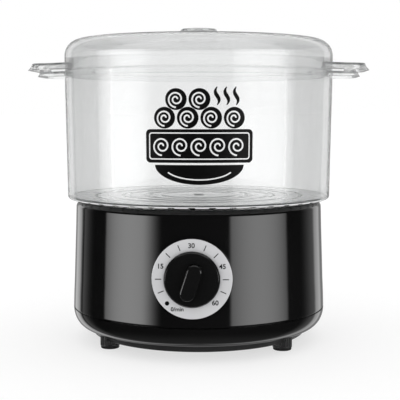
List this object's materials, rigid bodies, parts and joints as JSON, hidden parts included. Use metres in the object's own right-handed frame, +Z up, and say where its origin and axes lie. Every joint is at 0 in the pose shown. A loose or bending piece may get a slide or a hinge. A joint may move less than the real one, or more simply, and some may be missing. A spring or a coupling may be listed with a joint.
{
  "type": "countertop hot towel steamer",
  "caption": "Round black electric steamer base with a wind-up timer dial, under a clear slotted towel bowl and a clear domed lid with side handles.",
  "frame": {"origin": "middle of the footprint, on the table", "axes": "+X to the right seen from the front along the handles, +Y to the rear, +Z up; the dial faces -Y"},
  "size_m": [0.2596, 0.2124, 0.2408],
  "materials": {
    "gloss_black": "polished black moulding",
    "matt_black": "satin black moulding",
    "clear_plastic": "clear polished moulding",
    "dial_silver": "fine satin silver with printed black marks",
    "cast_aluminium": "smooth die casting",
    "steel": "zinc plated",
    "brass": "bare stamped brass",
    "rubber": "matt",
    "silicone": "matt, off white",
    "nylon": "natural nylon",
    "lead_insulation": "glass braid sleeving, off white"
  },
  "bodies": {
    "base": {"base_housing": "gloss_black", "base_tub": "gloss_black", "bell_hammer": "steel", "bell_screw": "steel", "bottom_cover": "matt_black", "case_screw_front_left": "steel", "case_screw_front_right": "steel", "case_screw_rear_left": "steel", "case_screw_rear_right": "steel", "clamp_screw_1": "steel", "clamp_screw_2": "steel", "clamp_screw_3": "steel", "contact_blade_fixed": "brass", "contact_blade_moving": "brass", "cord_gland": "matt_black", "dial_plate": "dial_silver", "foot_pad_front_left": "rubber", "foot_pad_front_right": "rubber", "foot_pad_rear_left": "rubber", "foot_pad_rear_right": "rubber", "foot_screw_front_left": "steel", "foot_screw_front_right": "steel", "foot_screw_rear_left": "steel", "foot_screw_rear_right": "steel", "heater_clamp": "steel", "heater_gasket": "silicone", "heating_element": "steel", "heating_plate": "cast_aluminium", "lead_heater_return": "lead_insulation", "lead_supply_to_timer": "lead_insulation", "lead_timer_to_heater": "lead_insulation", "spring_barrel": "brass", "terminal_block": "nylon", "thermal_fuse": "nylon", "thermostat": "steel", "timer_back_plate": "steel", "timer_bell": "steel", "timer_case": "steel", "timer_screw_left": "steel", "timer_screw_right": "steel", "water_tank": "matt_black"},
    "drip_tray": {"drip_tray": "matt_black"},
    "bowl": {"bowl": "clear_plastic"},
    "lid": {"lid": "clear_plastic"},
    "timer_knob": {"knob": "gloss_black", "timer_shaft": "steel", "shaft_clip": "steel", "timer_cam": "nylon"}
  },
  "joints": [
    {"name": "drip_tray_lift", "type": "slide", "parent": "base", "child": "drip_tray", "axis": [0, 0, 1], "range_m": [0, 0.12]},
    {"name": "bowl_lift", "type": "slide", "parent": "drip_tray", "child": "bowl", "axis": [0, 0, 1], "range_m": [0, 0.15]},
    {"name": "lid_lift", "type": "slide", "parent": "bowl", "child": "lid", "axis": [0, 0, 1], "range_m": [0, 0.15]},
    {"name": "timer_turn", "type": "hinge", "parent": "base", "child": "timer_knob", "pos_m": [0, -0.0979, 0.0612], "axis": [0, 1, 0], "range_deg": [-152.7, 117.3]}
  ]
}
